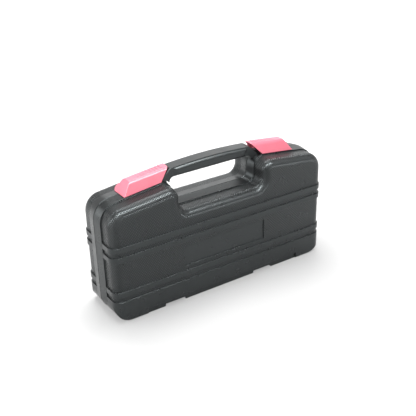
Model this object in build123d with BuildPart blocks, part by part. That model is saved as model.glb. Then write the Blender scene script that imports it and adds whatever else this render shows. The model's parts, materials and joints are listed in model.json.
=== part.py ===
"""Hard-shell carry case for a small woodworking joiner, standing closed on its hinge edge.

Part frame: X along the length, front face towards -Y, +Z up.  The origin is the middle of
the base.  All sizes are in millimetres.
"""

from build123d import *
from math import atan2, cos, pi, radians, sin, tan
import os

# ---- driving dimensions: outside of the case ---------------------------------------------
HALF_LENGTH = 150.0        # ends of the raised rim and ribs
HALF_DEPTH = 36.0          # front of the ribs
SHOULDER_X, SHOULDER_Z = 68.0, 147.5   # a point on the sloping top edge
TOP_SLOPE = 0.12           # the top edge falls this much per millimetre outwards
TOP_RADIUS = 22.0          # outer top corners
BASE_RADIUS = 20.0         # outer bottom corners
EDGE_ROUND = 11.0          # edge between the front face and the ends
PAD_ROUND = 10.0           # the same edge of the textured panels
BASE_ROUND = 2.5           # edge between the front face and the base
RIM_DEPTH = 13.0           # smooth rim on each half, from the seam
RIM_DRAFT = 7.0            # degrees, so that the rim is largest at the seam
RIM_STEP = 0.1             # the rim stands this far proud of the ribs
SEAM_GAP = 0.2             # each half stops this far from the middle plane
SEAM_STEP, SEAM_SINK = 0.4, 0.6        # width and depth of the groove's step in each rim
PAD_DROP = 1.3             # textured panels lie this far below rim and ribs

# ---- hand hole ---------------------------------------------------------------------------
HOLE_HALF = 57.5
HOLE_FLOOR_Z = 116.0
HOLE_RADIUS = 10.0
HOLE_TOP_RADIUS = 14.0

# ---- ribs, label panel and foot ----------------------------------------------------------
RIB_TOPS = (96.0, 83.7, 39.5)
RIB_HEIGHT = 6.3
PLINTH_TOP = 27.0
LABEL_HALF, LABEL_BOTTOM, LABEL_TOP, LABEL_DEPTH = 57.5, 45.5, 71.5, 1.4
FOOT_HALF, FOOT_TOP, FOOT_INSET = 110.0, 8.0, 2.6

# ---- walls and nest trays ----------------------------------------------------------------
WALL_INSET = 4.2           # side walls, measured from the rim outline
CAVITY_FLOOR_Z = 12.0
CAVITY_DEPTH = 32.3
CAVITY_ROUND = 7.0
TRAY_SHEET = 2.0
TRAY_GAP = 0.3
TRAY_RECESS = 0.5          # the tray's flange lies this far behind the seam
TRAY_NOTCH_HALF = 77.0
TRAY_NOTCH_Z = 106.0

# ---- hinge -------------------------------------------------------------------------------
HINGE_X, HINGE_Z = 65.0, 4.2
KNUCKLE_RADIUS, PIN_RADIUS, PIN_CLEARANCE = 3.6, 1.25, 0.06
POCKET_WIDTH, POCKET_HALF_Y, POCKET_TOP = 28.0, 13.0, 9.6
SLOT_X, SLOT_WIDTH, SLOT_HEIGHT = (-71.5, 56.5), 28.0, 3.0     # openings under the front face
CENTRE_KNUCKLE = 11.4
KNUCKLE_GAP = 0.4
KNUCKLE_ROOT = 0.5         # the web runs this far into the shell
RELIEF_HALF_Y = 16.0       # foot of the V along the seam, which lets the lid swing
RELIEF_TOP = HINGE_Z + 0.5 # and its tip, just above the hinge axis
PIN_SHORT = 0.2            # hinge pins stop this far inside their pockets

# ---- handle ------------------------------------------------------------------------------
GRIP_HALF_Y, NECK_HALF_Y = 9.5, 7.5
GRIP_TIP_HALF_Y = 7.4      # the grip's tapered ends stop just inside the neck
GRIP_TAPER_X = (46.5, 52.0)            # where the grip starts to narrow, and where it ends
GRIP_END_X, GRIP_END_Z = 55.8, 159.4   # where the grip's top turns down along the latch
KNEE_RADIUS, NECK_ROUND = 6.0, 1.5
GRIP_TOP_Z, GRIP_UNDER_Z = 161.8, 148.5
GRIP_TOP_ROUND, GRIP_UNDER_ROUND = 6.0, 3.0
TENON_INNER, TENON_OUTER, TENON_BOTTOM = 61.0, 69.0, 122.0
LEG_STEP_Z, LEG_STEP_FALL = 145.2, 2.9 # step from the tenon to the leg, and how it slopes
SOCKET_CLEARANCE = 0.35
SOCKET_BLOCK = (57.5, 74.0, 117.0)     # from x, to x, from z

# ---- latches, in a frame on the sloping rim: u outwards, y, w up -------------------------
LATCH_X = 94.5
LATCH_BOTTOM_HALF_Y, LATCH_TOP_HALF_Y = 12.8, 6.8
LATCH_BASE_W, LATCH_WALL = 0.8, 2.3
LATCH_SIDE = ((-23.6, 0.8), (23.8, 0.8), (12.1, 13.8), (-38.2, 13.4))  # side view, (u, w)
LATCH_EDGE, LATCH_END_EDGE = 5.0, 0.9  # rounding of the long top edges, and of the outer end
HOLLOW_LEAN = 1.2          # the hollow's sloping end runs out this much further at its foot
LATCH_RIBS, LATCH_RIB_PITCH, LATCH_RIB_U = 8, 4.2, -16.5
LATCH_RIB_SIZE, LATCH_RIB_RISE, LATCH_RIB_ROUND = (1.7, 9.0), 0.45, 0.84
BARREL_Y, BARREL_W, BARREL_RADIUS, LATCH_PIN_RADIUS = 9.6, 4.1, 3.2, 1.0
BARREL_END_U = (-22.0, 20.0)
BARREL_CAP = 1.5           # closed end of the barrel's bore
SKIRT_CUT = 16.0           # the skirt is cut away outside and below the barrel's axis
LATCH_PIN_END_U = (-21.0, 18.0)
LUG_U, LUG_WIDTH, LUG_RADIUS, LUG_GAP = 13.0, 5.0, 2.7, 0.4
LUG_ROOM_CENTRE, LUG_ROOM_SIZE = (13.6, 1.1), (16.4, 14.0)     # cut in the latch, (y, w)
SEAT_U, SEAT_HALF_Y, SEAT_W = (-24.6, 24.6), 10.6, -0.2    # flat on the rim under a latch
SEAT_CUT_HEIGHT = 10.0

SLOPE = atan2(TOP_SLOPE, 1.0)


def top_edge_z(x):
    """Height of the sloping top edge of the rim at x."""
    return SHOULDER_Z - TOP_SLOPE * (abs(x) - SHOULDER_X)


def draw_case_outline(inset=0.0, floor=0.0, notch_half=HOLE_HALF, notch_z=HOLE_FLOOR_Z):
    """Add the outline of the case, seen from the front, to the active sketch.

    inset moves every edge but the floor inwards.  A floor below zero gets square corners.
    """
    side = HALF_LENGTH - inset
    notch = notch_half + inset
    sill = notch_z - inset
    corner_z = top_edge_z(side) - inset
    shoulder_z = top_edge_z(notch) - inset
    base_radius = BASE_RADIUS - inset if floor >= 0 else 0
    points = [
        (-side, floor), (side, floor), (side, corner_z), (notch, shoulder_z),
        (notch, sill), (-notch, sill), (-notch, shoulder_z), (-side, corner_z),
    ]
    upper = [TOP_RADIUS - inset, HOLE_TOP_RADIUS - inset, HOLE_RADIUS + inset]
    radii = [base_radius, base_radius] + upper + upper[::-1]
    with BuildLine() as outline:
        FilletPolyline(*points, radius=radii, close=True)
    make_face(outline.edges())


def slab(low, high):
    """A plain box from its lowest to its highest corner, used as a cutting tool."""
    size = [b - a for a, b in zip(low, high)]
    middle = [(a + b) / 2 for a, b in zip(low, high)]
    return Pos(*middle) * Box(*size, mode=Mode.PRIVATE)

WIDE = 400.0               # larger than the case, for cutting tools
OVERLAP = 1.0              # cutting tools and joined forms run on by this much
BELOW = -30.0              # forms with a square lower edge start here and are cut at the base


# ---- outer form of one half, as the front half; the rear half is its mirror image ---------
with BuildPart() as proud_form:
    with BuildSketch(Plane.XZ.offset(SEAM_GAP)):
        draw_case_outline(floor=BELOW)
    extrude(amount=HALF_DEPTH - SEAM_GAP)
    front = proud_form.faces().sort_by(Axis.Y)[0]
    fillet([e for e in front.edges() if e.center().Z > 0], radius=EDGE_ROUND)

with BuildPart() as pad_form:
    with BuildSketch(Plane.XZ.offset(SEAM_GAP)):
        draw_case_outline(inset=PAD_DROP, floor=BELOW)
    extrude(amount=HALF_DEPTH - PAD_DROP - SEAM_GAP)
    front = pad_form.faces().sort_by(Axis.Y)[0]
    fillet([e for e in front.edges() if e.center().Z > 0], radius=PAD_ROUND)

with BuildPart() as base_form:
    with BuildSketch(Plane.XZ.offset(SEAM_GAP)):
        with Locations((0, PLINTH_TOP)):
            Rectangle(2 * HALF_LENGTH, 2 * PLINTH_TOP)
        fillet(vertices().group_by(Axis.Y)[0], radius=BASE_RADIUS)
    extrude(amount=HALF_DEPTH - SEAM_GAP)
    front = base_form.faces().sort_by(Axis.Y)[0]
    fillet([e for e in front.edges() if e.center().Z < PLINTH_TOP], radius=BASE_ROUND)


# ---- frames of the right-hand latch ------------------------------------------------------
RIM_FRAME = Plane(
    origin=(LATCH_X, 0, top_edge_z(LATCH_X)),
    x_dir=(cos(SLOPE), 0, -sin(SLOPE)),
    z_dir=(sin(SLOPE), 0, cos(SLOPE)),
)
ACROSS = Plane(origin=RIM_FRAME.origin, x_dir=(0, 1, 0), z_dir=RIM_FRAME.x_dir)
SIDE_VIEW = Plane(origin=RIM_FRAME.origin, x_dir=RIM_FRAME.x_dir, z_dir=(0, -1, 0))

# ---- one complete half, before its hinge knuckles ----------------------------------------
with BuildPart() as cavity:
    with BuildSketch(Plane.XZ):
        draw_case_outline(inset=WALL_INSET, floor=CAVITY_FLOOR_Z)
    extrude(amount=CAVITY_DEPTH)
    fillet(cavity.faces().sort_by(Axis.Y)[0].edges(), radius=CAVITY_ROUND)
    for side in (-1, 1):
        near, far = sorted((side * SOCKET_BLOCK[0], side * SOCKET_BLOCK[1]))
        add(slab((near, -RIM_DEPTH, SOCKET_BLOCK[2]), (far, 0, WIDE)), mode=Mode.SUBTRACT)

with BuildPart() as seat_cutter:
    with BuildSketch(ACROSS.offset(SEAT_U[0])):
        with Locations((0, SEAT_W)):
            Rectangle(2 * SEAT_HALF_Y, SEAT_CUT_HEIGHT, align=(Align.CENTER, Align.MIN))
    extrude(amount=SEAT_U[1] - SEAT_U[0])

with BuildPart() as half_form:
    rim_start = SEAM_GAP + SEAM_STEP
    growth = (RIM_DEPTH - rim_start) * tan(radians(RIM_DRAFT)) + RIM_STEP
    with BuildSketch(Plane.XZ.offset(rim_start)):
        draw_case_outline(inset=-growth)
    extrude(amount=RIM_DEPTH - rim_start, taper=RIM_DRAFT)
    with BuildSketch(Plane.XZ.offset(SEAM_GAP)):
        draw_case_outline(inset=SEAM_SINK - growth)
    extrude(amount=SEAM_STEP + OVERLAP)
    add(pad_form.part & slab((-WIDE, -WIDE, PLINTH_TOP - OVERLAP), (WIDE, 0, WIDE)))
    for top in RIB_TOPS:
        add(proud_form.part & slab((-WIDE, -WIDE, top - RIB_HEIGHT), (WIDE, 0, top)))
    add(proud_form.part & base_form.part & slab((-WIDE, -WIDE, 0), (WIDE, -RIM_DEPTH / 2, PLINTH_TOP)))
    add(slab((-WIDE, -WIDE, -WIDE), (WIDE, WIDE, 0)), mode=Mode.SUBTRACT)
    add(cavity.part, mode=Mode.SUBTRACT)
    # smooth label panel, and the foot strip set back under the front
    panel_y = HALF_DEPTH - PAD_DROP - LABEL_DEPTH
    add(slab((-LABEL_HALF, -WIDE, LABEL_BOTTOM), (LABEL_HALF, -panel_y, LABEL_TOP)), mode=Mode.SUBTRACT)
    foot_y = HALF_DEPTH - FOOT_INSET
    add(slab((-FOOT_HALF, -WIDE, -OVERLAP), (FOOT_HALF, -foot_y, FOOT_TOP)), mode=Mode.SUBTRACT)
    # hinge pockets with their slots under the front, handle sockets
    for side in (-1, 1):
        left, right = side * HINGE_X - POCKET_WIDTH / 2, side * HINGE_X + POCKET_WIDTH / 2
        add(slab((left, -POCKET_HALF_Y, -OVERLAP), (right, 0, POCKET_TOP)), mode=Mode.SUBTRACT)
        near, far = sorted((side * (TENON_INNER - SOCKET_CLEARANCE), side * (TENON_OUTER + SOCKET_CLEARANCE)))
        socket_low = (near, -NECK_HALF_Y - SOCKET_CLEARANCE, TENON_BOTTOM - SOCKET_CLEARANCE)
        socket = slab(socket_low, (far, 0, WIDE))
        add(socket, mode=Mode.SUBTRACT)
    # flat seat on the rim under each latch
    add(seat_cutter.part, mode=Mode.SUBTRACT)
    mirror(seat_cutter.part, about=Plane.YZ, mode=Mode.SUBTRACT)
    # V along the bottom of the seam, which the opening lid needs
    with BuildSketch(Plane.YZ.offset(-WIDE / 2)):
        with BuildLine():
            Polyline((0, RELIEF_TOP), (RELIEF_HALF_Y, 0), (RELIEF_HALF_Y, -OVERLAP),
                     (-RELIEF_HALF_Y, -OVERLAP), (-RELIEF_HALF_Y, 0), close=True)
        make_face()
    extrude(amount=WIDE, mode=Mode.SUBTRACT)


def knuckle(start, length, web_side, bore_radius):
    """A hinge knuckle from x = start, with its web to the pocket's ceiling."""
    axis_plane = Plane(origin=(start, 0, HINGE_Z), x_dir=(0, 1, 0), z_dir=(1, 0, 0))
    web_height = POCKET_TOP + KNUCKLE_ROOT - HINGE_Z
    web_low, web_high = sorted((web_side * KNUCKLE_RADIUS, web_side * KNUCKLE_GAP))
    with BuildPart() as made:
        with BuildSketch(axis_plane):
            Circle(KNUCKLE_RADIUS)
            with Locations(((web_low + web_high) / 2, web_height / 2)):
                Rectangle(web_high - web_low, web_height)
            Circle(bore_radius, mode=Mode.SUBTRACT)
        extrude(amount=length)
    return made.part


# ---- front shell: the lid ----------------------------------------------------------------
with BuildPart() as front_shell:
    add(half_form.part)
    for side in (-1, 1):
        start = side * HINGE_X - CENTRE_KNUCKLE / 2
        add(knuckle(start, CENTRE_KNUCKLE, -1, PIN_RADIUS + PIN_CLEARANCE))
    for x in SLOT_X:
        left, right = x - SLOT_WIDTH / 2, x + SLOT_WIDTH / 2
        slot = slab((left, -WIDE, -OVERLAP), (right, OVERLAP - POCKET_HALF_Y, SLOT_HEIGHT))
        add(slot, mode=Mode.SUBTRACT)

# ---- rear shell: carries the hinge pins, the handle and the latches -----------------------
outer_knuckle = (POCKET_WIDTH - CENTRE_KNUCKLE) / 2 - KNUCKLE_GAP

with BuildPart() as lug:
    with BuildSketch(ACROSS.offset(-LUG_WIDTH / 2)):
        with Locations((BARREL_Y, BARREL_W)):
            Circle(LUG_RADIUS)
        with Locations((BARREL_Y, BARREL_W)):
            Rectangle(2 * LUG_RADIUS, BARREL_W + OVERLAP, align=(Align.CENTER, Align.MAX))
        with Locations((BARREL_Y, BARREL_W)):
            Circle(LATCH_PIN_RADIUS, mode=Mode.SUBTRACT)
    extrude(amount=LUG_WIDTH)

with BuildPart() as rear_shell:
    mirror(half_form.part, about=Plane.XZ)
    for u in (-LUG_U, LUG_U):
        placed = lug.part.moved(Location(RIM_FRAME.x_dir * u))
        add(placed)
        mirror(placed, about=Plane.YZ)
    for side in (-1, 1):
        for offset in (-1, 1):
            middle = side * HINGE_X + offset * (CENTRE_KNUCKLE / 2 + KNUCKLE_GAP + outer_knuckle / 2)
            add(knuckle(middle - outer_knuckle / 2, outer_knuckle, 1, PIN_RADIUS))

# ---- hinge and latch pins ----------------------------------------------------------------
with BuildPart() as right_hinge_pin:
    with BuildSketch(Plane.YZ.offset(HINGE_X - POCKET_WIDTH / 2 + PIN_SHORT)):
        with Locations((0, HINGE_Z)):
            Circle(PIN_RADIUS)
    extrude(amount=POCKET_WIDTH - 2 * PIN_SHORT)

with BuildPart() as left_hinge_pin:
    mirror(right_hinge_pin.part, about=Plane.YZ)

with BuildPart() as right_latch_pin:
    with BuildSketch(ACROSS.offset(LATCH_PIN_END_U[0])):
        with Locations((BARREL_Y, BARREL_W)):
            Circle(LATCH_PIN_RADIUS)
    extrude(amount=LATCH_PIN_END_U[1] - LATCH_PIN_END_U[0])

with BuildPart() as left_latch_pin:
    mirror(right_latch_pin.part, about=Plane.YZ)


# ---- latches -----------------------------------------------------------------------------
def draw_latch_section(wall):
    """Add the latch's tapered cross-section to the active sketch, wall inside its outside."""
    low_w = LATCH_BASE_W if wall == 0 else LATCH_BASE_W - LATCH_OVERRUN
    high_w = LATCH_SIDE[2][1] + LATCH_OVERRUN
    narrowing = (LATCH_BOTTOM_HALF_Y - LATCH_TOP_HALF_Y) / (LATCH_SIDE[2][1] - LATCH_BASE_W)
    low_y, high_y = [LATCH_BOTTOM_HALF_Y - wall - narrowing * (w - LATCH_BASE_W) for w in (low_w, high_w)]
    with BuildLine() as section:
        Polyline((-low_y, low_w), (low_y, low_w), (high_y, high_w), (-high_y, high_w), close=True)
    make_face(section.edges())


LATCH_REACH = 60.0         # longer than a latch, for its cutting tools
LATCH_OVERRUN = 3.0        # cutting tools pass a latch's top and base by this much

with BuildPart() as side_prism:
    with BuildSketch(SIDE_VIEW.offset(-LATCH_REACH)):
        with BuildLine():
            Polyline(*LATCH_SIDE, close=True)
        make_face()
    extrude(amount=2 * LATCH_REACH)

with BuildPart() as latch_hollow:
    with BuildSketch(ACROSS.offset(-LATCH_REACH)):
        draw_latch_section(LATCH_WALL)
    extrude(amount=2 * LATCH_REACH)
    roof_w = LATCH_SIDE[3][1] - LATCH_WALL
    (outer_u, base_w), (top_u, _) = LATCH_SIDE[1:3]
    hollow_end_u = outer_u - LATCH_WALL + HOLLOW_LEAN
    with BuildSketch(SIDE_VIEW.offset(-LATCH_REACH)):
        with BuildLine():
            Polyline((-LATCH_REACH, base_w - LATCH_OVERRUN), (hollow_end_u, base_w - LATCH_OVERRUN),
                     (top_u - LATCH_WALL, roof_w), (-LATCH_REACH, roof_w), close=True)
        make_face()
    extrude(amount=2 * LATCH_REACH, mode=Mode.INTERSECT)

with BuildPart() as barrel:
    with BuildSketch(ACROSS.offset(-LATCH_REACH)):
        with Locations((BARREL_Y, BARREL_W)):
            Circle(BARREL_RADIUS)
    extrude(amount=LATCH_REACH + BARREL_END_U[1])
    add(side_prism.part, mode=Mode.INTERSECT)
    cut_back = slab((-WIDE, -WIDE, 0), (LATCH_X + BARREL_END_U[0], WIDE, WIDE))
    add(cut_back, mode=Mode.SUBTRACT)

with BuildPart() as right_latch:
    with BuildSketch(ACROSS.offset(-LATCH_REACH)):
        draw_latch_section(0)
        with Locations((BARREL_Y, BARREL_W)):
            corner_out = (Align.MIN, Align.MAX)
            Rectangle(SKIRT_CUT, SKIRT_CUT, align=corner_out, mode=Mode.SUBTRACT)
        with Locations((BARREL_Y, BARREL_W)):
            Circle(BARREL_RADIUS)
    extrude(amount=2 * LATCH_REACH)
    add(side_prism.part, mode=Mode.INTERSECT)
    roof = right_latch.faces().sort_by(Axis.Z)[-1]
    fillet(roof.edges().sort_by(SortBy.LENGTH)[-2:], radius=LATCH_EDGE)
    outer_end = right_latch.faces().filter_by(lambda f: f.normal_at().X > 0.6).sort_by(SortBy.AREA)[-1]
    end_edges = [e for e in outer_end.edges() if e.center().Z > RIM_FRAME.origin.Z + LATCH_WALL]
    fillet(end_edges, radius=LATCH_END_EDGE)
    with BuildSketch(RIM_FRAME.offset(LATCH_SIDE[3][1] + LATCH_RIB_RISE)):
        with Locations((LATCH_RIB_U, 0)):
            with GridLocations(LATCH_RIB_PITCH, 0, LATCH_RIBS, 1):
                RectangleRounded(*LATCH_RIB_SIZE, LATCH_RIB_ROUND)
    extrude(amount=-LATCH_WALL / 2)
    add(latch_hollow.part, mode=Mode.SUBTRACT)
    add(barrel.part)
    with BuildSketch(ACROSS.offset(-LATCH_REACH)):
        with Locations((BARREL_Y, BARREL_W)):
            Circle(LATCH_PIN_RADIUS + PIN_CLEARANCE)
    extrude(amount=LATCH_REACH + BARREL_END_U[1] - BARREL_CAP, mode=Mode.SUBTRACT)
    # room for the two lugs
    for u in (-LUG_U, LUG_U):
        with BuildSketch(ACROSS.offset(u - LUG_WIDTH / 2 - LUG_GAP)):
            with Locations(LUG_ROOM_CENTRE):
                Rectangle(*LUG_ROOM_SIZE)
        extrude(amount=LUG_WIDTH + 2 * LUG_GAP, mode=Mode.SUBTRACT)

with BuildPart() as left_latch:
    mirror(right_latch.part, about=Plane.YZ)

# ---- handle ------------------------------------------------------------------------------
LEG = [                                # from the grip's end down the outside and up the inside
    (GRIP_END_X, GRIP_END_Z),
    (TENON_OUTER, top_edge_z(TENON_OUTER)),
    (TENON_OUTER, TENON_BOTTOM),
    (TENON_INNER, TENON_BOTTOM),
    (TENON_INNER, LEG_STEP_Z),
    (HOLE_HALF, LEG_STEP_Z - LEG_STEP_FALL),
    (HOLE_HALF, GRIP_UNDER_Z - KNEE_RADIUS),
]
knee_x = HOLE_HALF - KNEE_RADIUS
knee_reach = KNEE_RADIUS * sin(pi / 4)
KNEE = [
    (HOLE_HALF, GRIP_UNDER_Z - KNEE_RADIUS),
    (knee_x + knee_reach, GRIP_UNDER_Z - KNEE_RADIUS + knee_reach),
    (knee_x, GRIP_UNDER_Z),
]

with BuildPart() as grip:
    with BuildSketch(Plane.XZ.offset(-GRIP_HALF_Y)):
        with BuildLine():
            ThreePointArc((-GRIP_END_X, GRIP_END_Z), (0, GRIP_TOP_Z), (GRIP_END_X, GRIP_END_Z))
            Polyline((GRIP_END_X, GRIP_END_Z), (GRIP_END_X, GRIP_UNDER_Z),
                     (-GRIP_END_X, GRIP_UNDER_Z), (-GRIP_END_X, GRIP_END_Z))
        make_face()
    extrude(amount=2 * GRIP_HALF_Y)
    with BuildSketch():
        corner = [(GRIP_TAPER_X[1], GRIP_TIP_HALF_Y), (GRIP_TAPER_X[0], GRIP_HALF_Y)]
        front_side = [(x, -y) for x, y in corner] + [(-x, -y) for x, y in corner[::-1]]
        rear_side = [(x, -y) for x, y in front_side[::-1]]
        Polygon(*front_side, *rear_side, align=None)
    extrude(amount=WIDE, mode=Mode.INTERSECT)
    long_edges = grip.edges().filter_by(lambda e: abs(e.center().X) < 1).sort_by(Axis.Z)
    fillet(long_edges[:2], radius=GRIP_UNDER_ROUND)
    long_edges = grip.edges().filter_by(lambda e: abs(e.center().X) < 1).sort_by(Axis.Z)
    fillet(long_edges[-2:], radius=GRIP_TOP_ROUND)

with BuildPart() as handle:
    with BuildSketch(Plane.XZ.offset(-NECK_HALF_Y)):
        with BuildLine():
            ThreePointArc((-GRIP_END_X, GRIP_END_Z), (0, GRIP_TOP_Z), (GRIP_END_X, GRIP_END_Z))
            for side in (-1, 1):
                Polyline(*[(side * x, z) for x, z in LEG])
                ThreePointArc(*[(side * x, z) for x, z in KNEE])
            Line((-knee_x, GRIP_UNDER_Z), (knee_x, GRIP_UNDER_Z))
        make_face()
    extrude(amount=2 * NECK_HALF_Y)
    side_edges = handle.edges().filter_by(lambda e: abs(e.center().Y) > NECK_HALF_Y - 0.1)
    fillet(
        [e for e in side_edges if abs(e.center().X) > GRIP_TAPER_X[1] and e.center().Z > GRIP_UNDER_Z],
        radius=NECK_ROUND,
    )
    add(grip.part)

# ---- nest trays --------------------------------------------------------------------------
REAR_TUBS = ((-50.0, 166.0), (54.5, 32.0), (108.0, 56.0))      # (centre x, width)
FRONT_TUBS = ((-69.0, 128.0), (69.0, 128.0))
TUB_LOW_Z, TUB_HIGH_Z, TUB_ROUND = 20.5, 97.0, 8.0
TUB_CLEARANCE = 0.05       # between a tub's floor and the shell


def tray(tubs):
    """A thin nest tray for the front half, with one sunk tub for each (centre x, width)."""
    inset = WALL_INSET + TRAY_GAP
    face = SEAM_GAP + TRAY_RECESS
    middle_z, height = (TUB_LOW_Z + TUB_HIGH_Z) / 2, TUB_HIGH_Z - TUB_LOW_Z
    with BuildPart() as made:
        with BuildSketch(Plane.XZ.offset(face)):
            draw_case_outline(inset=inset, floor=CAVITY_FLOOR_Z + TRAY_GAP,
                              notch_half=TRAY_NOTCH_HALF, notch_z=TRAY_NOTCH_Z)
        extrude(amount=TRAY_SHEET)
        for wall, depth, mode in (
            (0.0, CAVITY_DEPTH - TUB_CLEARANCE, Mode.ADD),
            (TRAY_SHEET, CAVITY_DEPTH - TRAY_SHEET, Mode.SUBTRACT),
        ):
            with BuildSketch(Plane.XZ.offset(face)):
                for x, width in tubs:
                    with Locations((x, middle_z)):
                        RectangleRounded(width - 2 * wall, height - 2 * wall, TUB_ROUND - wall)
            extrude(amount=depth - face, mode=mode)
    return made.part


with BuildPart() as front_tray:
    add(tray(FRONT_TUBS))

with BuildPart() as rear_tray:
    mirror(tray(REAR_TUBS), about=Plane.XZ)

# ---- write every piece -------------------------------------------------------------------
PIECES = {
    "front_shell": front_shell,
    "rear_shell": rear_shell,
    "front_tray": front_tray,
    "rear_tray": rear_tray,
    "handle": handle,
    "left_latch": left_latch,
    "right_latch": right_latch,
    "left_latch_pin": left_latch_pin,
    "right_latch_pin": right_latch_pin,
    "left_hinge_pin": left_hinge_pin,
    "right_hinge_pin": right_hinge_pin,
}
os.makedirs("parts", exist_ok=True)
for label, piece in PIECES.items():
    piece.part.label = label
    export_step(piece.part, f"parts/{label}.step")
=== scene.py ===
"""Looks of the black moulded carry case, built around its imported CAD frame."""
import json
from math import atan, cos, pi, radians, sin

import bmesh
import bpy
from mathutils import Matrix, Vector

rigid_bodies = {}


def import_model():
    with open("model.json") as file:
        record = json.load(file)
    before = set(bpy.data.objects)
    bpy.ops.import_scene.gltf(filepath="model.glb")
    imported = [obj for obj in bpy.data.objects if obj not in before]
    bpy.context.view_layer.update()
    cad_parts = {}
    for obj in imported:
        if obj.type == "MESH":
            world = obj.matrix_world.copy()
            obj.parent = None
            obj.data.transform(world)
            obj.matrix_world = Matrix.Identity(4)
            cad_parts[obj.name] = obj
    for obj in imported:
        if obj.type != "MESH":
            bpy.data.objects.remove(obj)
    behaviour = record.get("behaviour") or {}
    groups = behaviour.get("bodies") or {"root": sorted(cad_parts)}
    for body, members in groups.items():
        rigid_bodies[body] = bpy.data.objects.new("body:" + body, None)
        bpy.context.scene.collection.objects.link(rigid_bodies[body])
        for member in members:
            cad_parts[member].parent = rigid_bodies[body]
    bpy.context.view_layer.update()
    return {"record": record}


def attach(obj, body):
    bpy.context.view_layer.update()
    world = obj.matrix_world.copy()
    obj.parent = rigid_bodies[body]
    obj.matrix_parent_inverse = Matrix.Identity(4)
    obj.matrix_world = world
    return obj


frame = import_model()
MM = 0.001

# ---- the view: where the camera stands, and its lens ---------------------------------------
VIEW_AZIMUTH, VIEW_ELEVATION, VIEW_ROLL = radians(-33.1), radians(26.2), radians(-1.45)
VIEW_DISTANCE = 0.896
VIEW_TARGET = Vector((-0.0014, 0.0, 0.0907))
LENS_MM, SENSOR_MM = 64.0, 36.0

# ---- looks: noise scales per metre, grain depths and edge radii in millimetres -------------
BLACKS = (0.0096, 0.0096, 0.0096), (0.015, 0.01524, 0.0156)
PINKS = (0.97, 0.2, 0.28), (1.0, 0.235, 0.32)
STEELS = (0.45, 0.45, 0.47), (0.62, 0.62, 0.64)
# the second tint below dims the reflections in the texture's pits: painted shade in the pits
COOL_TINT = (0.88, 0.98, 1.0)      # tints the black plastic's highlights
PIT_SHADE_TINT = (0.76, 0.83, 0.85)      # and those in the texture's pits
NO_TINT = (1.0, 1.0, 1.0)
BLACK_SCALES = (38.0, 90.0, 2600.0)    # of the mottling, the gloss and the grain
PINK_SCALES = (60.0, 120.0, 2200.0)
STEEL_TONE_SCALE, STEEL_GLOSS_SCALE = 300.0, 900.0
STEEL_ROUGHNESS = (0.25, 0.42)
NOISE_ROUGHNESS = 0.55
LESS_DETAIL, MORE_DETAIL = 2.0, 3.0    # of a noise
NOISE_SPAN = (0.3, 0.7)            # the part of a noise's range that is spread over a gloss
BEVEL_SAMPLES = 6

# ---- texture of the case: square pits in a raised diagonal grid, in millimetres ------------
DIAMOND_PITCH = 3.5
GRID_LINE = 0.9            # width of the raised lines between the pits
PIT_SLOPE = 0.45           # rise over run of the pits' sides
RIM_DEPTH = 13.0           # the smooth rim's reach from the seam
PLINTH_TOP = 27.0
PAD_FRONT = 34.7           # the textured front face's distance from the seam
RIB_TOPS, RIB_HEIGHT = (96.0, 83.7, 39.5), 6.3
LABEL_HALF, LABEL_BOTTOM, LABEL_TOP = 57.5, 45.5, 71.5
PAD_FADE = 0.3             # the texture fades in over this distance from the rim and the plinth
BAND_FADE = 0.12           # and over twice this one at the ribs and the label

# ---- the seam's lip, in millimetres --------------------------------------------------------
OUTLINE_HALF = 150.0
TOP_EDGE_Z, TOP_SLOPE = 155.66, 0.12   # the top edge's height is the first less the second times x
FOOT_RADIUS, SHOULDER_RADIUS = 20.0, 22.0
LIP_INSET, LIP_WIDTH = 2.5, 5.0
LIP_FOOT_Z = 7.5           # puts the lip's lower edge just above the hinge pockets
LIP_END_X = 76.0           # the lip stops beside the handle's sockets
LIP_FRONT_Y, LIP_BACK_Y = -0.12, 0.25
ARC_STEPS = 8

# ---- the floor, in metres ------------------------------------------------------------------
FLOOR_SIZE = 6.0
FLOOR_WHITE = (0.95, 0.95, 0.95)
FLOOR_ROUGHNESS, FLOOR_SPECULAR = 0.6, 0.1
GLOW_FROM, GLOW_TO = 0.16, 0.7     # the floor glows more with distance between these two
GLOW_STRENGTH = 0.9
FLOOR_OPACITY = 0.6

# ---- the lights: place and size in metres, power in watts ----------------------------------
LIGHTS = {
    "overhead": ((0.1, 0.3, 1.3), (0.9, 0.7), 15.0),
    "back_panel": ((0.75, 1.2, 0.75), (1.4, 0.9), 4.0),
    "front_fill": ((-0.3, -1.2, 0.6), (1.0, 0.8), 3.0),
    "left_panel": ((-1.3, 0.75, 0.5), (1.0, 0.8), 7.0),
    "gloss_strip": ((-0.1, -0.62, 1.05), (1.4, 0.4), 50.0),
}
LIGHT_AIM = (0.0, 0.0, 0.08)
WORLD_STRENGTH = 0.68


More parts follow.
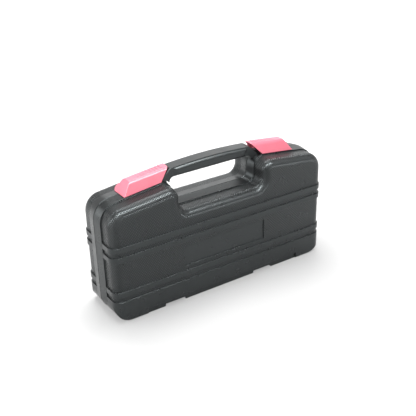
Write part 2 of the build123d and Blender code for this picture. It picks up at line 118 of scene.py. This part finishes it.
# ---- small helpers for node trees ----------------------------------------------------------
class Nodes:
    """A new material, and short calls that add nodes to it."""

    def __init__(self, name):
        self.material = bpy.data.materials.new(name)
        self.material.use_nodes = True
        self.tree = self.material.node_tree
        self.shader = self.tree.nodes["Principled BSDF"]

    def node(self, kind, **settings):
        made = self.tree.nodes.new(kind)
        for key, value in settings.items():
            setattr(made, key, value)
        return made

    def link(self, source, target):
        self.tree.links.new(source, target)

    def feed(self, socket, value):
        """Set a socket to a number, or link another node's output to it."""
        if isinstance(value, (int, float)):
            socket.default_value = value
        else:
            self.link(value, socket)

    def math(self, operation, *values):
        made = self.node("ShaderNodeMath", operation=operation)
        for socket, value in zip(made.inputs, values):
            self.feed(socket, value)
        return made.outputs[0]

    def inverse(self, value):
        return self.math("SUBTRACT", 1.0, value)

    def vector(self, operation, a, b):
        made = self.node("ShaderNodeVectorMath", operation=operation)
        self.link(a, made.inputs[0])
        self.link(b, made.inputs["Scale" if operation == "SCALE" else 1])
        return made.outputs["Value" if operation == "DOT_PRODUCT" else "Vector"]

    def ramp(self, value, low, high, out_low=0.0, out_high=1.0):
        made = self.node("ShaderNodeMapRange", clamp=True)
        self.link(value, made.inputs["Value"])
        made.inputs["From Min"].default_value = low
        made.inputs["From Max"].default_value = high
        made.inputs["To Min"].default_value = out_low
        made.inputs["To Max"].default_value = out_high
        return made.outputs["Result"]

    def inside(self, value, low, high):
        """1 where value lies between low and high, with a short soft edge."""
        rise = self.ramp(value, low - BAND_FADE, low + BAND_FADE)
        fall = self.ramp(value, high - BAND_FADE, high + BAND_FADE)
        return self.math("SUBTRACT", rise, fall)

    def coordinates(self, kind):
        return self.node("ShaderNodeTexCoord").outputs[kind]

    def split(self, vector):
        made = self.node("ShaderNodeSeparateXYZ")
        self.link(vector, made.inputs[0])
        return made.outputs

    def noise(self, scale, detail):
        made = self.node("ShaderNodeTexNoise")
        self.link(self.coordinates("Object"), made.inputs["Vector"])
        made.inputs["Scale"].default_value = scale
        made.inputs["Detail"].default_value = detail
        made.inputs["Roughness"].default_value = NOISE_ROUGHNESS
        return made.outputs["Fac"]

    def mix_colour(self, factor, a, b):
        made = self.node("ShaderNodeMix", data_type="RGBA")
        self.link(factor, made.inputs["Factor"])
        made.inputs["A"].default_value = (*a, 1.0)
        made.inputs["B"].default_value = (*b, 1.0)
        return made.outputs["Result"]

    def rounded_edges(self, radius_mm):
        made = self.node("ShaderNodeBevel", samples=BEVEL_SAMPLES)
        made.inputs["Radius"].default_value = radius_mm * MM
        return made.outputs["Normal"]

    def bump(self, height, depth_mm, normal):
        made = self.node("ShaderNodeBump")
        made.inputs["Strength"].default_value = 1.0
        made.inputs["Distance"].default_value = depth_mm * MM
        self.link(height, made.inputs["Height"])
        self.link(normal, made.inputs["Normal"])
        return made.outputs["Normal"]

    def tilted(self, normal, slope, amount):
        """A world normal tilted by amount along slope, three values in the object's own axes."""
        combined = self.node("ShaderNodeCombineXYZ")
        for socket, value in zip(combined.inputs, slope):
            self.link(value, socket)
        turned = self.node("ShaderNodeVectorTransform", vector_type="VECTOR",
                           convert_from="OBJECT", convert_to="WORLD")
        self.link(combined.outputs[0], turned.inputs[0])
        lean = turned.outputs[0]
        along_normal = self.vector("SCALE", normal, self.vector("DOT_PRODUCT", lean, normal))
        lean = self.vector("SUBTRACT", lean, along_normal)
        made = self.node("ShaderNodeVectorMath", operation="NORMALIZE")
        self.link(self.vector("ADD", normal, self.vector("SCALE", lean, amount)), made.inputs[0])
        return made.outputs["Vector"]


# ---- materials -----------------------------------------------------------------------------
def moulded(n, colours, scales, roughness, grain_depth, edge_radius):
    """Plastic with mottling and an uneven gloss. Returns its normal, grained and round-edged."""
    mottling_scale, gloss_scale, grain_scale = scales
    mottling = n.noise(mottling_scale, MORE_DETAIL)
    n.link(n.mix_colour(mottling, *colours), n.shader.inputs["Base Color"])
    gloss = n.ramp(n.noise(gloss_scale, LESS_DETAIL), *NOISE_SPAN, *roughness)
    n.link(gloss, n.shader.inputs["Roughness"])
    return n.bump(n.noise(grain_scale, LESS_DETAIL), grain_depth, n.rounded_edges(edge_radius))


def plain_plastic(name, colours, scales, tint, roughness, grain_depth, edge_radius):
    n = Nodes(name)
    normal = moulded(n, colours, scales, roughness, grain_depth, edge_radius)
    n.link(normal, n.shader.inputs["Normal"])
    n.shader.inputs["Specular Tint"].default_value = (*tint, 1.0)
    return n.material


def waffle(n, u, v):
    """The slope of the pits' sides along u and along v, and a mask that is 1 in a pit."""
    depths, rises = [], []
    for diagonal in (n.math("ADD", u, v), n.math("SUBTRACT", u, v)):
        depths.append(n.math("PINGPONG", diagonal, DIAMOND_PITCH / 2))
        phase = n.math("FLOORED_MODULO", diagonal, DIAMOND_PITCH)
        first_half = n.math("LESS_THAN", phase, DIAMOND_PITCH / 2)
        rises.append(n.math("MULTIPLY_ADD", first_half, 2.0, -1.0))
    nearer = n.math("LESS_THAN", *depths)
    along_first = n.math("MULTIPLY", nearer, rises[0])
    along_second = n.math("MULTIPLY", n.inverse(nearer), rises[1])
    slope_u = n.math("ADD", along_first, along_second)
    slope_v = n.math("SUBTRACT", along_first, along_second)
    pit = n.math("GREATER_THAN", n.math("MINIMUM", *depths), GRID_LINE / 2)
    return slope_u, slope_v, pit


def textured_area(n, x, along, z):
    """1 where the case is textured, 0 on its rim, plinth, ribs and label panel."""
    above_plinth = n.ramp(z, PLINTH_TOP, PLINTH_TOP + PAD_FADE)
    area = n.math("MULTIPLY", n.ramp(along, RIM_DEPTH, RIM_DEPTH + PAD_FADE), above_plinth)
    for top in RIB_TOPS:
        area = n.math("MULTIPLY", area, n.inverse(n.inside(z, top - RIB_HEIGHT, top)))
    label_x = n.inside(x, -LABEL_HALF, LABEL_HALF)
    label = n.math("MULTIPLY", label_x, n.inside(z, LABEL_BOTTOM, LABEL_TOP))
    return n.math("MULTIPLY", area, n.inverse(label))


def case_material():
    """The shells' black plastic with its texture."""
    n = Nodes("case_plastic_look")
    grain = moulded(n, BLACKS, BLACK_SCALES, roughness=(0.26, 0.35), grain_depth=0.012, edge_radius=0.8)
    x, y, z = [n.math("MULTIPLY", part, 1 / MM) for part in n.split(n.coordinates("Object"))]
    across, along = n.math("ABSOLUTE", x), n.math("ABSOLUTE", y)

    # u and v run over the front or back face, and wrap over its rounded edges towards the seam
    nx, _, nz = n.split(n.coordinates("Normal"))
    fall_back = n.math("MAXIMUM", n.math("SUBTRACT", PAD_FRONT, along), 0.0)
    on_side = n.math("GREATER_THAN", n.math("ABSOLUTE", nx), n.math("ABSOLUTE", nz))
    outward = n.math("SIGN", n.math("MULTIPLY", nx, x))
    share_u, share_v = n.math("MULTIPLY", on_side, outward), n.inverse(on_side)
    u = n.math("ADD", across, n.math("MULTIPLY", fall_back, share_u))
    v = n.math("ADD", z, n.math("MULTIPLY", fall_back, share_v))

    slope_u, slope_v, pit = waffle(n, u, v)
    pit = n.math("MULTIPLY", pit, textured_area(n, x, along, z))
    # the dimmer reflections in the pits are painted shade, where the recesses would be shadowed
    n.link(n.mix_colour(pit, COOL_TINT, PIT_SHADE_TINT), n.shader.inputs["Specular Tint"])
    seamward = n.math("ADD", n.math("MULTIPLY", slope_u, share_u), n.math("MULTIPLY", slope_v, share_v))
    slope = (
        n.math("MULTIPLY", slope_u, n.math("SIGN", x)),
        n.math("MULTIPLY", seamward, n.math("MULTIPLY", n.math("SIGN", y), -1.0)),
        slope_v,
    )
    n.link(n.tilted(grain, slope, n.math("MULTIPLY", pit, PIT_SLOPE)), n.shader.inputs["Normal"])
    return n.material


def steel_material():
    n = Nodes("pin_steel_look")
    n.shader.inputs["Metallic"].default_value = 1.0
    tone = n.noise(STEEL_TONE_SCALE, MORE_DETAIL)
    n.link(n.mix_colour(tone, *STEELS), n.shader.inputs["Base Color"])
    gloss = n.ramp(n.noise(STEEL_GLOSS_SCALE, MORE_DETAIL), *NOISE_SPAN, *STEEL_ROUGHNESS)
    n.link(gloss, n.shader.inputs["Roughness"])
    return n.material


MATERIALS = {
    "case_plastic": case_material(),
    "handle_plastic": plain_plastic("handle_plastic_look", BLACKS, BLACK_SCALES, COOL_TINT,
                                    roughness=(0.32, 0.41), grain_depth=0.006, edge_radius=0.6),
    "tray_plastic": plain_plastic("tray_plastic_look", BLACKS, BLACK_SCALES, COOL_TINT,
                                  roughness=(0.46, 0.55), grain_depth=0.03, edge_radius=1.5),
    "latch_plastic": plain_plastic("latch_plastic_look", PINKS, PINK_SCALES, NO_TINT,
                                   roughness=(0.30, 0.38), grain_depth=0.004, edge_radius=0.5),
    "pin_steel": steel_material(),
}


def dress_cad_nodes():
    """Give every CAD node the look of its material slot."""
    for subpart in frame["record"]["subparts"]:
        look = MATERIALS[subpart["material_slot"]]
        for holder in bpy.data.objects[subpart["node"]].material_slots:
            holder.material = look


# ---- the lip on the rear half's edge, inside the seam --------------------------------------
def lip_line(inset):
    """The right half of the lip's edge, inset from the case's outline, as (x, z) in millimetres."""
    foot_radius, top_radius = FOOT_RADIUS - inset, SHOULDER_RADIUS - inset
    side_x = OUTLINE_HALF - inset
    foot_centre = (side_x - foot_radius, LIP_FOOT_Z + inset + foot_radius)
    slope = atan(TOP_SLOPE)
    centre_x = side_x - top_radius
    edge_z = TOP_EDGE_Z - TOP_SLOPE * centre_x - inset
    top_centre = (centre_x, edge_z - top_radius / cos(slope))
    line = [(0.0, LIP_FOOT_Z + inset)]
    for centre, radius, start, end in (
        (foot_centre, foot_radius, -pi / 2, 0.0),
        (top_centre, top_radius, 0.0, pi / 2 - slope),
    ):
        for step in range(ARC_STEPS + 1):
            angle = start + (end - start) * step / ARC_STEPS
            line.append((centre[0] + radius * cos(angle), centre[1] + radius * sin(angle)))
    line.append((LIP_END_X, TOP_EDGE_Z - TOP_SLOPE * LIP_END_X - inset))
    return line


def make_seam_lip():
    """A thin strip along the seam, moulded on the rear half, which closes the gap to the lid."""
    edges = []
    for inset in (LIP_INSET, LIP_INSET + LIP_WIDTH):
        right = lip_line(inset)
        left = [(-x, z) for x, z in right[:0:-1]]
        edges.append(left + right)
    mesh = bmesh.new()
    rings = []
    for outer, inner in zip(*edges):
        corners = [(outer, LIP_FRONT_Y), (outer, LIP_BACK_Y), (inner, LIP_BACK_Y), (inner, LIP_FRONT_Y)]
        rings.append([mesh.verts.new((x * MM, y * MM, z * MM)) for (x, z), y in corners])
    for ring, following in zip(rings, rings[1:]):
        for i in range(4):
            j = (i + 1) % 4
            mesh.faces.new((ring[i], ring[j], following[j], following[i]))
    mesh.faces.new(rings[0][::-1])
    mesh.faces.new(rings[-1])
    bmesh.ops.recalc_face_normals(mesh, faces=mesh.faces)
    data = bpy.data.meshes.new("seam_lip")
    mesh.to_mesh(data)
    mesh.free()
    # the smooth black of the handle, without the shells' texture
    data.materials.append(MATERIALS["handle_plastic"])
    lip = bpy.data.objects.new("seam_lip", data)
    bpy.context.scene.collection.objects.link(lip)
    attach(lip, "rear_half")


# ---- stage, light and camera ---------------------------------------------------------------
def make_floor():
    """A white floor that glows away from the case, a little see-through for the lid's swing below it."""
    bpy.ops.mesh.primitive_plane_add(size=FLOOR_SIZE, location=(0, 0, 0))
    floor = bpy.context.object
    floor.name = "studio_floor"
    n = Nodes("floor_white")
    n.shader.inputs["Base Color"].default_value = (*FLOOR_WHITE, 1.0)
    distance = n.node("ShaderNodeVectorMath", operation="LENGTH")
    n.link(n.coordinates("Object"), distance.inputs[0])
    glow = n.ramp(distance.outputs["Value"], GLOW_FROM, GLOW_TO, 0.0, GLOW_STRENGTH)
    n.link(glow, n.shader.inputs["Emission Strength"])
    n.shader.inputs["Emission Color"].default_value = (1.0, 1.0, 1.0, 1.0)
    n.shader.inputs["Roughness"].default_value = FLOOR_ROUGHNESS
    n.shader.inputs["Specular IOR Level"].default_value = FLOOR_SPECULAR
    clear = n.node("ShaderNodeBsdfTransparent")
    blend = n.node("ShaderNodeMixShader")
    blend.inputs[0].default_value = FLOOR_OPACITY
    n.link(clear.outputs[0], blend.inputs[1])
    n.link(n.shader.outputs[0], blend.inputs[2])
    n.link(blend.outputs[0], n.tree.nodes["Material Output"].inputs["Surface"])
    floor.data.materials.append(n.material)


def make_light(name, place, size, power):
    data = bpy.data.lights.new(name, "AREA")
    data.shape = "RECTANGLE"
    data.size, data.size_y = size
    data.energy = power
    lamp = bpy.data.objects.new(name, data)
    bpy.context.scene.collection.objects.link(lamp)
    lamp.location = place
    lamp.rotation_euler = (Vector(LIGHT_AIM) - Vector(place)).to_track_quat("-Z", "Y").to_euler()


def make_studio():
    scene = bpy.context.scene
    scene.view_settings.view_transform = "Standard"
    world = bpy.data.worlds.new("studio")
    world.use_nodes = True
    background = world.node_tree.nodes["Background"]
    background.inputs["Color"].default_value = (1, 1, 1, 1)
    background.inputs["Strength"].default_value = WORLD_STRENGTH
    scene.world = world
    for name, (place, size, power) in LIGHTS.items():
        make_light(name, place, size, power)
    # the strip only adds highlights
    bpy.data.objects["gloss_strip"].visible_diffuse = False


def make_camera():
    level = cos(VIEW_ELEVATION)
    forward = Vector((-sin(VIEW_AZIMUTH) * level, cos(VIEW_AZIMUTH) * level, -sin(VIEW_ELEVATION)))
    right = forward.cross(Vector((0, 0, 1))).normalized()
    up = right.cross(forward)
    turned_right = right * cos(VIEW_ROLL) + up * sin(VIEW_ROLL)
    turned_up = up * cos(VIEW_ROLL) - right * sin(VIEW_ROLL)
    data = bpy.data.cameras.new("camera")
    data.sensor_width = SENSOR_MM
    data.lens = LENS_MM
    camera = bpy.data.objects.new("camera", data)
    bpy.context.scene.collection.objects.link(camera)
    turn = Matrix((turned_right, turned_up, -forward)).transposed().to_4x4()
    camera.matrix_world = Matrix.Translation(VIEW_TARGET - forward * VIEW_DISTANCE) @ turn
    bpy.context.scene.camera = camera


make_camera()
dress_cad_nodes()
make_seam_lip()
make_floor()
make_studio()
